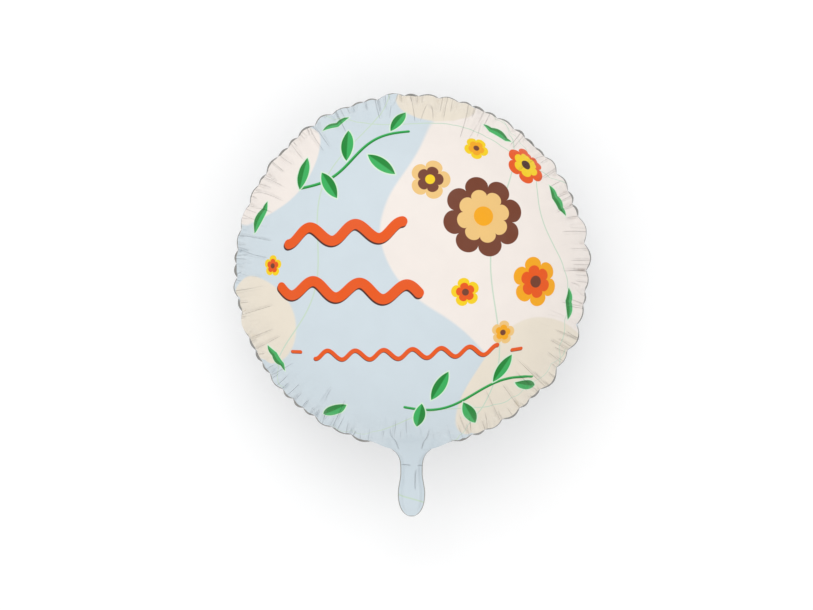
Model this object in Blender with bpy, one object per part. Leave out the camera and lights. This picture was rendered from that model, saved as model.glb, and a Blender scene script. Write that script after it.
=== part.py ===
"""A round foil balloon, inflated, lying on its back with its printed face up.

Two round sheets of foil with a tail are welded together round the edge. Inflating them
pulls the edge inwards, so the weld has to swing to and fro and the rim puckers into lobes.
The balloon is sealed, so each sheet is modelled as one half of the full form, and the two
halves part along the weld. Metres, +Z up, +Y away from the tail. The origin is the middle
of the flat spot that the balloon rests on.
"""

import math
import random

import bmesh
import bpy
from mathutils import Vector

# The cut sheet, before it is inflated
FLAT_DIAMETER = 0.457
WELD_WIDTH = 0.0045

# The puckered rim. A lobe is 2 to 4 columns of the mesh wide, and a wide one stands out most
COLUMNS = 160
LOBE_SPANS = (2, 2, 2, 2, 3, 3, 3, 4)
LOBE_SEED = 16
LOBE_HEIGHT = 0.0052
FLATTEST_LOBE = 0.4
NOTCH_DEPTH = 0.0014
SEAM_SWING = 0.0060
SEAM_REACH = 0.026
PUFF_HEIGHT = 0.0042
PUFF_RISE = 0.012
PUFF_REACH = 0.085

# The tail and the funnel that leads into it
TAIL_COLUMNS = 12
TAIL_LENGTH = 0.0705
NECK_DISTANCE = 0.027
NECK_WIDTH = 0.0222
BULB_DISTANCE = 0.047
BULB_WIDTH = 0.0272
TAIL_THICKNESS = 0.0060
TAIL_FLAT_SHARE = 0.65
TAIL_WELD_WIDTH = 0.0025
TAIL_END_TAPER = 0.009
FLARE_POWER = 4
TAIL_ROWS = 11
FUNNEL_REACH = 0.040
FUNNEL_CREST_SHARE = 0.50
FUNNEL_TUCK = 0.0040

# The solids
EDGE_THICKNESS = 0.0005
GAP = 0.0003
REST_SPOT_DIAMETER = 0.060

# Rings of the mesh from the weld in to the flat spot, closer together near the weld, and how
# many of them, from the weld inwards, keep all their columns
RINGS = 11
RING_BUNCHING = 1.45
FINE_RINGS = 6

PRINT_COLOUR = (0.67, 0.76, 0.82, 1.0)
PRINT_ROUGHNESS = 0.38
BACK_COLOUR = (0.60, 0.64, 0.67, 1.0)
BACK_ROUGHNESS = 0.35

FLAT_RADIUS = FLAT_DIAMETER / 2
WELD_LINE = FLAT_RADIUS - WELD_WIDTH
ARC_STEPS = 400
ARC_STEP = WELD_LINE / ARC_STEPS
NEAR = 1e-6
ROOT_ANGLE = TAIL_COLUMNS / COLUMNS * math.pi


def inflated_profile():
    """(arc from the rim, radius, height) along a unit inflated disc, from its rim to its pole.

    The sheet can't stretch, so the pressure gives it the one curve whose slope falls off with
    the square of its radius. An angle whose cosine is the radius keeps the steps even."""
    arc = height = 0.0
    rows = [(0.0, 1.0, 0.0)]
    step = math.pi / 2 / ARC_STEPS
    for i in range(ARC_STEPS):
        radius = math.cos((i + 0.5) * step)
        stretch = math.sqrt(1 + radius ** 2)
        arc += step / stretch
        height += step * radius ** 2 / stretch
        rows.append((arc, math.cos((i + 1) * step), height))
    return rows


PROFILE = inflated_profile()
INFLATED_RADIUS = WELD_LINE / PROFILE[-1][0]
RIM_RADIUS = INFLATED_RADIUS + WELD_WIDTH
FULL_HEIGHT = PROFILE[-1][2] * INFLATED_RADIUS


def on_profile(distance):
    """(radius, height above the weld) of the sheet at a distance in from the weld line."""
    arc = min(max(distance, 0.0) / INFLATED_RADIUS, PROFILE[-1][0])
    for low, high in zip(PROFILE, PROFILE[1:]):
        if arc <= high[0]:
            share = (arc - low[0]) / (high[0] - low[0])
            radius = low[1] + share * (high[1] - low[1])
            height = low[2] + share * (high[2] - low[2])
            return radius * INFLATED_RADIUS, height * INFLATED_RADIUS
    return 0.0, FULL_HEIGHT


# The back settles onto its flat spot, which sets the height of the weld above the floor
REST_DEPTH = on_profile(WELD_LINE - REST_SPOT_DIAMETER / 2)[1]
SEAM_HEIGHT = REST_DEPTH + GAP / 2 + EDGE_THICKNESS


def smooth(share):
    """A soft step from 0 to 1."""
    share = min(max(share, 0.0), 1.0)
    return share * share * (3 - 2 * share)


def fade(distance, reach):
    """1 at the weld and beyond it, falling softly to 0 at the reach."""
    return 1 - smooth(distance / reach)


def rim_lobes():
    """Lobes counted from the tail's right side round to its left, as lists of
    (first column, columns, notch depth, seam swing at the first notch, height share)."""
    rng = random.Random(LOBE_SEED)
    first = TAIL_COLUMNS // 2
    last = COLUMNS - TAIL_COLUMNS // 2
    lobes = []
    side = 1
    while first < last:
        span = rng.choice(LOBE_SPANS)
        if last - first - span < min(LOBE_SPANS):
            span = last - first
        depth = NOTCH_DEPTH * rng.uniform(0.2, 1.0)
        swing = side * SEAM_SWING * rng.uniform(0.6, 1.0) if lobes else 0.0
        lobes.append((first, span, depth, swing, rng.uniform(FLATTEST_LOBE, 1.0)))
        first += span
        side = -side
    lobes.append((last, 1, 0.0, 0.0, 1.0))
    return lobes


LOBES = rim_lobes()


def pucker(column):
    """(outward shift of the weld, swing towards the front, puff of the foil) at a column."""
    for here, ahead in zip(LOBES, LOBES[1:]):
        if here[0] <= column <= ahead[0]:
            share = (column - here[0]) / (ahead[0] - here[0])
            crown = math.sin(math.pi * share)
            width = min(1.0, (ahead[0] - here[0]) / max(LOBE_SPANS))
            notch = here[2] * (1 - share) + ahead[2] * share
            shift = LOBE_HEIGHT * width * here[4] * crown - notch * (1 - crown)
            swing = here[3] + (ahead[3] - here[3]) * smooth(share)
            return shift, swing, crown * width
    return 0.0, 0.0, 0.0


def tail_half_width(distance):
    """Half the tail's width at a distance out from the rim."""
    flare = RIM_RADIUS * math.sin(ROOT_ANGLE)
    neck, bulb = NECK_WIDTH / 2, BULB_WIDTH / 2
    if distance < NECK_DISTANCE:
        return neck + (flare - neck) * (1 - distance / NECK_DISTANCE) ** FLARE_POWER
    if distance < BULB_DISTANCE:
        return neck + (bulb - neck) * smooth((distance - NECK_DISTANCE) / (BULB_DISTANCE - NECK_DISTANCE))
    end = (distance - BULB_DISTANCE) / (TAIL_LENGTH - BULB_DISTANCE)
    return bulb * math.sqrt(max(0.0, 1 - end ** 2.4))


def funnel(distance_out):
    """(radius, height) down the middle of the funnel, from the dome to the flat of the tail.

    It leaves the dome at the funnel's reach and lies flat when it arrives at the neck."""
    start_radius, start_height = on_profile(FUNNEL_REACH)
    length = FUNNEL_REACH + WELD_WIDTH + NECK_DISTANCE
    share = (distance_out + WELD_WIDTH + FUNNEL_REACH) / length
    share = min(max(share, 0.0), 1.0)
    ahead_radius, ahead_height = on_profile(FUNNEL_REACH - NEAR)
    slope_radius = (ahead_radius - start_radius) / NEAR * length
    slope_height = (ahead_height - start_height) / NEAR * length
    end_radius, end_height = RIM_RADIUS + NECK_DISTANCE, TAIL_THICKNESS / 2
    keep = 2 * share ** 3 - 3 * share ** 2 + 1
    leave = share ** 3 - 2 * share ** 2 + share
    arrive = share ** 3 - share ** 2
    radius = keep * start_radius + leave * slope_radius + (1 - keep) * end_radius + arrive * length
    radius -= FUNNEL_TUCK * (4 * share * (1 - share)) ** 2
    height = keep * start_height + leave * slope_height + (1 - keep) * end_height
    return radius, height


def across_tail(share, leaving):
    """Height across the tail: flat in the middle and down to nothing at the weld."""
    flat_share = FUNNEL_CREST_SHARE + (TAIL_FLAT_SHARE - FUNNEL_CREST_SHARE) * leaving
    return 1 - smooth((share - flat_share) / (1 - flat_share))


def place(x, y, on_face, side):
    """Where a point of the flat sheet goes. side is 1 for the front and -1 for the back;
    on_face is 1 on the foil and 0 on the surface where the two halves meet."""
    flat_radius = math.hypot(x, y)
    edge = side * (GAP / 2 + EDGE_THICKNESS * on_face)
    if y < 0 and flat_radius > FLAT_RADIUS + NEAR:
        return place_on_tail(x, -y - FLAT_RADIUS, edge, on_face, side)
    angle = math.atan2(y, x)
    column = round(((angle + math.pi / 2) % (2 * math.pi)) / (2 * math.pi) * COLUMNS, 4)
    distance = WELD_LINE - flat_radius
    radius, height = on_profile(distance)
    radius -= min(distance, 0.0)
    shift, swing, puff = pucker(column)
    outward, upward = slope(distance)
    swell = PUFF_HEIGHT * puff * smooth(distance / PUFF_RISE) * fade(distance, PUFF_REACH)
    radius += shift * fade(distance, SEAM_REACH) + swell * outward * on_face
    level = swing * fade(distance, SEAM_REACH)
    height = (height + swell * upward) * on_face
    if on_face and distance < FUNNEL_REACH:
        from_middle = min(column, COLUMNS - column) / (TAIL_COLUMNS / 2)
        share = 1 - smooth((from_middle - FUNNEL_CREST_SHARE) / (1 - FUNNEL_CREST_SHARE))
        funnel_radius, funnel_height = funnel(-distance - WELD_WIDTH)
        radius += (funnel_radius - radius) * share * smooth((FUNNEL_REACH - distance) / FUNNEL_REACH)
        height += (funnel_height - height) * share
    if side < 0 and on_face:
        height = min(height, REST_DEPTH)
    return Vector((radius * math.cos(angle), radius * math.sin(angle), level + side * height + edge))


def slope(distance):
    """Unit direction, outward and upward, that the foil faces at a distance in from the weld."""
    start = min(max(distance, 0.0), WELD_LINE - 2 * ARC_STEP)
    low, high = on_profile(start), on_profile(start + ARC_STEP)
    across, rise = low[0] - high[0], high[1] - low[1]
    size = math.hypot(across, rise)
    return rise / size, across / size


def place_on_tail(x, distance_out, edge, on_face, side):
    """The rows of the tail bend like the rim at its root and are straight below the neck."""
    half_width = max(tail_half_width(distance_out), NEAR)
    leaving = smooth(distance_out / NECK_DISTANCE)
    share = min(abs(x) / max(half_width - TAIL_WELD_WIDTH * leaving, NEAR), 1.0)
    across = across_tail(share, leaving)
    funnel_radius, middle = funnel(distance_out)
    bend = RIM_RADIUS * (1 - math.cos(abs(x) / half_width * ROOT_ANGLE)) * (1 - leaving)
    out = RIM_RADIUS + distance_out - bend
    if on_face and distance_out < NECK_DISTANCE:
        out += (funnel_radius - RIM_RADIUS - distance_out) * across
    end = smooth((TAIL_LENGTH - TAIL_WELD_WIDTH - distance_out) / TAIL_END_TAPER)
    return Vector((x, -out, side * middle * across * end * on_face + edge))


def ring_radius(index):
    """Radius on the flat sheet of a ring, counted from the weld line to the flat spot."""
    return WELD_LINE - (WELD_LINE - REST_SPOT_DIAMETER / 2) * (index / RINGS) ** RING_BUNCHING


def half_profile():
    """The closed outline that is spun into one half: rings of the foil from the middle to the
    edge at height 1, then rings of the parting surface back to the middle at height 0."""
    foil = [FLAT_RADIUS] + [ring_radius(i) for i in range(RINGS + 1)] + [0.0]
    parting = [FLAT_RADIUS, WELD_LINE, WELD_LINE - SEAM_REACH, 0.0]
    return [(radius, 1.0) for radius in reversed(foil)] + [(radius, 0.0) for radius in parting]


def spun_sheet():
    """The flat sheet, one unit thick, as a turned disc with its tail extruded from the edge."""
    bm = bmesh.new()
    verts = [bm.verts.new((0.0, -radius, height)) for radius, height in half_profile()]
    edges = [bm.edges.new(pair) for pair in zip(verts, verts[1:])]
    bmesh.ops.spin(
        bm, geom=verts + edges, cent=(0, 0, 0), axis=(0, 0, 1), angle=2 * math.pi, steps=COLUMNS, use_merge=True
    )
    bmesh.ops.remove_doubles(bm, verts=bm.verts[:], dist=NEAR)
    thin_out_middle(bm)
    extrude_tail(bm)
    bmesh.ops.recalc_face_normals(bm, faces=bm.faces[:])
    parting = [f for f in bm.faces if all(v.co.z < 0.5 for v in f.verts)]
    bmesh.ops.triangulate(bm, faces=parting, quad_method="FIXED")
    return bm


def thin_out_middle(bm):
    """Leaves out every second column of the foil in the smooth middle of the sheet."""
    doomed = []
    for edge in bm.edges:
        radii = [math.hypot(v.co.x, v.co.y) for v in edge.verts]
        outer = edge.verts[radii.index(max(radii))].co
        radial = abs(radii[0] - radii[1]) > NEAR
        on_foil = all(v.co.z > 0.5 for v in edge.verts)
        column = round(math.atan2(outer.y, outer.x) / (2 * math.pi) * COLUMNS)
        if radial and on_foil and column % 2 and max(radii) < ring_radius(FINE_RINGS) + NEAR:
            doomed.append(edge)
    bmesh.ops.dissolve_edges(bm, edges=doomed, use_verts=True, use_face_split=False)


def extrude_tail(bm):
    """Extrudes the edge faces at the tail's root row by row down to the tail's end."""
    faces = [f for f in bm.faces if is_edge_face(f) and off_axis(f.calc_center_median()) < ROOT_ANGLE]
    columns = {}
    for face in faces:
        for vert in face.verts:
            columns[vert] = math.atan2(vert.co.x, -vert.co.y) / ROOT_ANGLE
    for row in range(1, TAIL_ROWS + 1):
        distance = TAIL_LENGTH * tail_row_share(row)
        made = bmesh.ops.extrude_face_region(bm, geom=faces, use_keep_orig=False)
        moved = [v for v in made["geom"] if isinstance(v, bmesh.types.BMVert)]
        shares = {(round(v.co.x, 6), round(v.co.y, 6)): share for v, share in columns.items()}
        columns = {v: shares[(round(v.co.x, 6), round(v.co.y, 6))] for v in moved}
        bmesh.ops.delete(bm, geom=faces, context="FACES_ONLY")
        for vert, share in columns.items():
            vert.co.x = across_width(share) * tail_half_width(distance)
            vert.co.y = -(FLAT_RADIUS + distance)
        faces = [f for f in made["geom"] if isinstance(f, bmesh.types.BMFace)]


def tail_row_share(row):
    """Rows lie closer together in the flare and at the rounded end."""
    share = row / TAIL_ROWS
    return 0.5 - 0.5 * math.cos(math.pi * share) if share < 1 else 0.998


def across_width(share):
    """Spreads the tail's columns so that the outermost strip on each side is about the weld."""
    weld_share = 2 * TAIL_WELD_WIDTH / BULB_WIDTH
    inner = 1 - 2 / TAIL_COLUMNS
    if abs(share) < inner + NEAR:
        return share / inner * (1 - weld_share)
    return math.copysign(1.0, share)


def off_axis(point):
    return abs(math.atan2(point.x, -point.y))


def is_edge_face(face):
    return all(math.hypot(v.co.x, v.co.y) > FLAT_RADIUS - NEAR for v in face.verts)


def foil_half(name, side, colour, metallic, roughness):
    """One foil sheet with the air behind it, as a closed solid."""
    bm = spun_sheet()
    for vert in bm.verts:
        vert.co = place(vert.co.x, vert.co.y, vert.co.z, side)
        vert.co.z += SEAM_HEIGHT
    if side < 0:
        bmesh.ops.reverse_faces(bm, faces=bm.faces[:])
    mesh = bpy.data.meshes.new(name)
    bm.to_mesh(mesh)
    bm.free()
    part = bpy.data.objects.new(name, mesh)
    balloon.objects.link(part)
    mesh.materials.append(material(name, colour, metallic, roughness))
    mesh.shade_smooth()
    mesh.set_sharp_from_angle(angle=math.radians(40))
    return part


def material(name, colour, metallic, roughness):
    made = bpy.data.materials.new(name)
    made.use_nodes = True
    shader = made.node_tree.nodes["Principled BSDF"]
    shader.inputs["Base Color"].default_value = colour
    shader.inputs["Metallic"].default_value = metallic
    shader.inputs["Roughness"].default_value = roughness
    return made


def new_collection(name):
    made = bpy.data.collections.new(name)
    bpy.context.scene.collection.children.link(made)
    return made


for leftover in list(bpy.data.objects):
    bpy.data.objects.remove(leftover)
balloon = new_collection("foil balloon")

foil_half("front_foil", 1, PRINT_COLOUR, 0.0, PRINT_ROUGHNESS)
foil_half("back_foil", -1, BACK_COLOUR, 1.0, BACK_ROUGHNESS)
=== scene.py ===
# %% [markdown]
# # A foil balloon, lying on its back
# A foil balloon is two round sheets of thin film, welded together round the edge with a filling
# tail left at the bottom. Film can't stretch, so when the gas pushes the sheets apart the round
# edge is pulled inwards and has more length than it needs. It takes up the spare length in small
# lobes. This file makes both sheets at their cut size, inflates them with the curve that a round
# sheet really takes, and prints the front one.

import math
import random

import bpy
import numpy as np
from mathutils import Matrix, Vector


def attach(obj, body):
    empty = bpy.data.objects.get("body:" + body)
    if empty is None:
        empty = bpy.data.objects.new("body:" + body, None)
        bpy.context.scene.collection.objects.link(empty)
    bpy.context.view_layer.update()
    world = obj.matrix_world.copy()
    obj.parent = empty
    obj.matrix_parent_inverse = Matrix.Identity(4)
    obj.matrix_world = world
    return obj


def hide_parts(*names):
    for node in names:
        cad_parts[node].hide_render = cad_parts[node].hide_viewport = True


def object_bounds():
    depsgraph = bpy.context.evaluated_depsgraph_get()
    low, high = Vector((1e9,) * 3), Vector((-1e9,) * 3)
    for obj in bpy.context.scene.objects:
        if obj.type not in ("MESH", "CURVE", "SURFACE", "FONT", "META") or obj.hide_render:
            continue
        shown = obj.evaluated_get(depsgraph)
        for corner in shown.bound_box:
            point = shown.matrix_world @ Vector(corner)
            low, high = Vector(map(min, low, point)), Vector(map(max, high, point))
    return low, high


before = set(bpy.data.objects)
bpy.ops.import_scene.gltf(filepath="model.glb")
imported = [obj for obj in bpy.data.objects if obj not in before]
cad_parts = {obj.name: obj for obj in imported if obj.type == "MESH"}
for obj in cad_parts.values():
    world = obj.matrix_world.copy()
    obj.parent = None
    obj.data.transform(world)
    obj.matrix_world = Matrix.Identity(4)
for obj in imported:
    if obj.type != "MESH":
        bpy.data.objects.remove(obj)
cad_low, cad_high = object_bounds()
print("solids from", tuple(cad_low), "to", tuple(cad_high))

# %% [markdown]
# ## The cut size
# The makers cut the film flat, so the sizes here are those of the flat sheets: 18 inches across,
# with a weld 4.5 mm wide, and a tail. Everything else follows from them. They repeat the
# dimensions of the solids, so that the film lies where the solids are.

# %% Sizes in metres
FLAT_DIAMETER = 0.457
WELD_WIDTH = 0.0045
TAIL_LENGTH = 0.0705
NECK_DISTANCE = 0.027
NECK_WIDTH = 0.0222
BULB_DISTANCE = 0.047
BULB_WIDTH = 0.0272
TAIL_THICKNESS = 0.0060
TAIL_WELD_WIDTH = 0.0025
REST_SPOT_DIAMETER = 0.060
FILM = 0.0003
FILM_GAP = 0.0001

FLAT_RADIUS = FLAT_DIAMETER / 2
WELD_LINE = FLAT_RADIUS - WELD_WIDTH
SHEET_SPAN = 0.56
SHEET_MIDDLE_Y = -0.035
print("flat sheet", round(FLAT_DIAMETER * 1000), "mm across")

# %% [markdown]
# ## The inflated curve
# A round sheet that can't stretch takes one curve under pressure. Seen from the side it falls
# off slowly in the middle and steeply at the rim. It can't be written with plain sines, but it
# can be added up in small steps: one angle runs from the rim to the middle, its cosine is the
# radius, and each step adds a bit of film length and a bit of height.

# %% Add up the curve
ARC_STEPS = 2000


def inflated_profile():
    """Film length from the rim, radius and height along a unit inflated disc."""
    step = math.pi / 2 / ARC_STEPS
    middle = (np.arange(ARC_STEPS) + 0.5) * step
    stretch = np.sqrt(1 + np.cos(middle) ** 2)
    arc = np.concatenate(([0.0], np.cumsum(step / stretch)))
    height = np.concatenate(([0.0], np.cumsum(step * np.cos(middle) ** 2 / stretch)))
    return arc, np.cos(np.arange(ARC_STEPS + 1) * step), height


PROFILE_ARC, PROFILE_RADIUS, PROFILE_HEIGHT = inflated_profile()
INFLATED_RADIUS = WELD_LINE / PROFILE_ARC[-1]
RIM_RADIUS = INFLATED_RADIUS + WELD_WIDTH
FULL_HEIGHT = PROFILE_HEIGHT[-1] * INFLATED_RADIUS


def on_profile(distance):
    """Radius and height of the film at a distance in from the weld line."""
    arc = np.clip(distance, 0.0, None) / INFLATED_RADIUS
    radius = np.interp(arc, PROFILE_ARC, PROFILE_RADIUS) * INFLATED_RADIUS
    return radius, np.interp(arc, PROFILE_ARC, PROFILE_HEIGHT) * INFLATED_RADIUS


REST_DEPTH = float(on_profile(WELD_LINE - REST_SPOT_DIAMETER / 2)[1])
SEAM_HEIGHT = (cad_high.z - cad_low.z) / 2 + (REST_DEPTH - FULL_HEIGHT) / 2
print(f"inflated radius {INFLATED_RADIUS:.4f}, half thickness {FULL_HEIGHT:.4f}")
print(f"weld {SEAM_HEIGHT:.4f} above the floor")

# %% [markdown]
# ## The lobes of the rim
# On a real balloon no two lobes are alike: wide ones stand out most, and between them the film
# is drawn in to a sharp notch, from which a crease runs up the side. The widths are drawn by
# chance from a short list, with a fixed seed so that they are the same each time, and in the
# same order as in the solids. A shape keyed by hand would take longer and look no better.

# %% Draw the lobes
COLUMNS = 160
LOBE_SPANS = (2, 2, 2, 2, 3, 3, 3, 4)
LOBE_SEED = 16
LOBE_HEIGHT = 0.0052
FLATTEST_LOBE = 0.4
NOTCH_DEPTH = 0.0014
SHALLOWEST_NOTCH = 0.2
SEAM_SWING = 0.0060
SMALLEST_SWING = 0.6
TAIL_COLUMNS = 12
COLUMN_ANGLE = 2 * math.pi / COLUMNS


def rim_lobes():
    """First column, notch depth, seam swing and height share of each lobe, round to the tail."""
    rng = random.Random(LOBE_SEED)
    first = TAIL_COLUMNS // 2
    last = COLUMNS - TAIL_COLUMNS // 2
    lobes = []
    side = 1
    while first < last:
        span = rng.choice(LOBE_SPANS)
        if last - first - span < min(LOBE_SPANS):
            span = last - first
        depth = NOTCH_DEPTH * rng.uniform(SHALLOWEST_NOTCH, 1.0)
        swing = side * SEAM_SWING * rng.uniform(SMALLEST_SWING, 1.0) if lobes else 0.0
        lobes.append((first, depth, swing, rng.uniform(FLATTEST_LOBE, 1.0)))
        first += span
        side = -side
    lobes.append((last, 0.0, 0.0, 1.0))
    return np.array(lobes)


LOBES = rim_lobes()
print(len(LOBES) - 1, "lobes")

# %% [markdown]
# ## From a place on the rim to its lobe
# Each point of the film asks three things of the rim: how far its column stands out, how far the
# weld swings up or down there, and how much the film above it puffs out. All are worked out for
# every point at once, as arrays, which is far quicker than a loop over the points.

# %% Helpers that read the lobes


def smooth(share):
    """A soft step from 0 to 1."""
    share = np.clip(share, 0.0, 1.0)
    return share * share * (3 - 2 * share)


def fade(distance, reach):
    """1 at the weld and outside it, falling softly to 0 at the reach."""
    return 1 - smooth(distance / reach)


def lobe_at(column):
    """The lobe at a column, how far across it the column lies, and the lobe's span."""
    here = np.clip(np.searchsorted(LOBES[:, 0], column, side="right") - 1, 0, len(LOBES) - 2)
    first, last = LOBES[here, 0], LOBES[here + 1, 0]
    return here, np.clip((column - first) / (last - first), 0.0, 1.0), last - first


def off_tail(column):
    """Distance round the rim from the middle of the tail, 1 at the tail's root."""
    return np.minimum(column, COLUMNS - column) / (TAIL_COLUMNS / 2)


def pucker(column):
    """Shift outwards, swing upwards and puff, by column."""
    here, share, span = lobe_at(column)
    on_rim = (column >= LOBES[0, 0]) & (column <= LOBES[-1, 0])
    crown = np.sin(np.pi * share) * on_rim
    width = np.minimum(1.0, span / max(LOBE_SPANS))
    notch = LOBES[here, 1] * (1 - share) + LOBES[here + 1, 1] * share
    shift = LOBE_HEIGHT * width * LOBES[here, 3] * crown - notch * (1 - crown) * on_rim
    swing = (LOBES[here, 2] + (LOBES[here + 1, 2] - LOBES[here, 2]) * smooth(share)) * on_rim
    return shift, swing, crown * width


# %% [markdown]
# ## The welded edge
# The weld is a flat strip, but on the finished balloon it doesn't lie flat: each lobe bends it
# down, and the notches stand it on its edge. Seen from the front it is a thin crescent at the
# tip of each lobe. So the strip keeps its 4.5 mm, and only a part of it, different for each
# lobe, runs outwards. The rest runs down, and the film behind it comes out to meet it.

# %% How far the weld strip runs outwards
STRIP_SEED = 9
STRIP_SHOWN = (0.0026, 0.0041)
STRIP_AT_NOTCH = 0.0004
STRIP_FLAT_SHARE = 0.9
STRIP_FLAT_BLEND = 0.3
PULL_REACH = 0.030


def strip_widths():
    """The part of the weld strip that shows from the front at the tip of each lobe."""
    rng = random.Random(STRIP_SEED)
    return np.array([rng.uniform(*STRIP_SHOWN) for _ in LOBES])


STRIP_WIDTHS = strip_widths()
print("weld strip shows by", STRIP_WIDTHS.min().round(4), "or more")


def weld_strip(column):
    """Outward run and drop of the whole weld strip. It lies flat in the middle of the tail."""
    here, share, _ = lobe_at(column)
    run = STRIP_AT_NOTCH + STRIP_WIDTHS[here] * np.sin(np.pi * share)
    run += (WELD_WIDTH - run) * smooth((STRIP_FLAT_SHARE - off_tail(column)) / STRIP_FLAT_BLEND)
    return run, np.sqrt(np.maximum(WELD_WIDTH**2 - run**2, 0.0))


# %% [markdown]
# ## The tail's outline
# The tail flares out into the rim in a hollow curve, narrows to a neck and swells to a rounded
# bulb at its end. A power curve makes the flare, a soft step the swelling, and a squared-off
# ellipse the end.

# %% Outline and height of the tail
FUNNEL_REACH = 0.040
FUNNEL_CREST_SHARE = 0.50
TAIL_FLAT_SHARE = 0.65
TAIL_END_TAPER = 0.009
TAIL_END_POWER = 2.4
FLARE_POWER = 4
FUNNEL_TUCK = 0.0040
ROOT_ANGLE = TAIL_COLUMNS / 2 * COLUMN_ANGLE
NEAR = 1e-6
SAME_PLACE = 1e-5


def tail_half_width(distance):
    """Half the tail's width at a distance out from the rim."""
    neck, bulb = NECK_WIDTH / 2, BULB_WIDTH / 2
    if distance < NECK_DISTANCE:
        flare = RIM_RADIUS * math.sin(ROOT_ANGLE)
        return neck + (flare - neck) * (1 - distance / NECK_DISTANCE) ** FLARE_POWER
    if distance < BULB_DISTANCE:
        share = (distance - NECK_DISTANCE) / (BULB_DISTANCE - NECK_DISTANCE)
        return neck + (bulb - neck) * float(smooth(share))
    end = (distance - BULB_DISTANCE) / (TAIL_LENGTH - BULB_DISTANCE)
    return bulb * math.sqrt(max(0.0, 1 - end**TAIL_END_POWER))


def funnel(distance_out):
    """Radius and height down the middle of the funnel, from the dome to the flat tail."""
    start_radius, start_height = on_profile(FUNNEL_REACH)
    ahead_radius, ahead_height = on_profile(FUNNEL_REACH - NEAR)
    length = FUNNEL_REACH + WELD_WIDTH + NECK_DISTANCE
    share = np.clip((distance_out + WELD_WIDTH + FUNNEL_REACH) / length, 0.0, 1.0)
    keep = 2 * share**3 - 3 * share**2 + 1
    leave = share**3 - 2 * share**2 + share
    arrive = share**3 - share**2
    run = (ahead_radius - start_radius) / NEAR * length
    rise = (ahead_height - start_height) / NEAR * length
    end_radius = RIM_RADIUS + NECK_DISTANCE
    radius = keep * start_radius + leave * run + (1 - keep) * end_radius + arrive * length
    radius = radius - FUNNEL_TUCK * (4 * share * (1 - share)) ** 2
    height = keep * start_height + leave * rise + (1 - keep) * TAIL_THICKNESS / 2
    return radius, height


# %% [markdown]
# ## Cutting one sheet
# A sheet starts as a line of points from the edge to the middle, close together near the weld
# where the lobes are. Spinning it about the middle makes a round mesh with even columns. Towards
# the middle those columns would run into slivers, so every second line is dissolved there, and
# again further in. The tail is extruded from the edge, row by row.

# %% Spin a round sheet
FINE = 4
SHEET_COLUMNS = COLUMNS * FINE
RINGS = 44
RING_BUNCHING = 1.35
WELD_RINGS = 3
TAIL_ROWS = 72
THINNING_RADII = (0.110, 0.055, 0.027, 0.013)
print(SHEET_COLUMNS, "columns,", RINGS + WELD_RINGS, "rings,", TAIL_ROWS, "rows in the tail")


def ring_radii():
    """Radii on the flat sheet from its edge to its middle."""
    weld = [FLAT_RADIUS - WELD_WIDTH * i / WELD_RINGS for i in range(WELD_RINGS)]
    return weld + [WELD_LINE * (1 - (i / RINGS) ** RING_BUNCHING) for i in range(RINGS + 1)]


def pick(sheet):
    """Selects this sheet and nothing else."""
    bpy.ops.object.select_all(action="DESELECT")
    bpy.context.view_layer.objects.active = sheet
    sheet.select_set(True)


def start_sheet(name):
    """A line of points along -Y, from the edge of the sheet to its middle, in edit mode."""
    mesh = bpy.data.meshes.new(name)
    points = [(0.0, -radius, 0.0) for radius in ring_radii()]
    mesh.from_pydata(points, [(i, i + 1) for i in range(len(points) - 1)], [])
    sheet = bpy.data.objects.new(name, mesh)
    bpy.context.scene.collection.objects.link(sheet)
    pick(sheet)
    bpy.ops.object.mode_set(mode="EDIT")
    bpy.ops.mesh.select_all(action="SELECT")
    return sheet


def spin_sheet():
    """Spins the line once round, and welds the start to the end."""
    bpy.ops.mesh.spin(steps=SHEET_COLUMNS, angle=2 * math.pi, center=(0, 0, 0), axis=(0, 0, 1))
    bpy.ops.mesh.select_all(action="SELECT")
    bpy.ops.mesh.remove_doubles(threshold=SAME_PLACE)


# %% [markdown]
# ## Choosing edges by their place
# Without a window nothing is clicked, so edges are chosen by where they lie. Points are read and
# moved, and a selection is set, in object mode. The next operator uses it in edit mode.

# %% Helpers for points and edges


def points_of(mesh, domain="co"):
    """Places or normals of a mesh's points as an array."""
    values = np.empty(len(mesh.vertices) * 3)
    mesh.vertices.foreach_get(domain, values)
    return values.reshape(-1, 3)


def move_points(mesh, points):
    mesh.vertices.foreach_set("co", points.ravel())
    mesh.update()


def select_edges(sheet, wanted):
    """Selects the edges whose two ends, as arrays of points, pass the test."""
    bpy.ops.mesh.select_mode(type="EDGE")
    bpy.ops.object.mode_set(mode="OBJECT")
    mesh = sheet.data
    points = points_of(mesh)
    ends = np.empty(len(mesh.edges) * 2, dtype=np.int32)
    mesh.edges.foreach_get("vertices", ends)
    ends = ends.reshape(-1, 2)
    chosen = wanted(points[ends[:, 0]], points[ends[:, 1]])
    mesh.vertices.foreach_set("select", np.zeros(len(mesh.vertices), dtype=bool))
    mesh.polygons.foreach_set("select", np.zeros(len(mesh.polygons), dtype=bool))
    mesh.edges.foreach_set("select", chosen)
    bpy.ops.object.mode_set(mode="EDIT")
    return int(chosen.sum())


def spare_radial(start, end):
    """The edges towards the middle that are closer together than they need to be."""
    radius_a, radius_b = np.hypot(*start[:, :2].T), np.hypot(*end[:, :2].T)
    outer = np.where((radius_a > radius_b)[:, None], start, end)
    column = np.rint(np.arctan2(outer[:, 1], outer[:, 0]) / (2 * math.pi) * SHEET_COLUMNS)
    spare = np.zeros(len(start), dtype=bool)
    for level, limit in enumerate(THINNING_RADII):
        off_grid = column.astype(int) % 2 ** (level + 1) != 0
        spare |= off_grid & (np.maximum(radius_a, radius_b) < limit)
    return spare & (np.abs(radius_a - radius_b) > SAME_PLACE)


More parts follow.
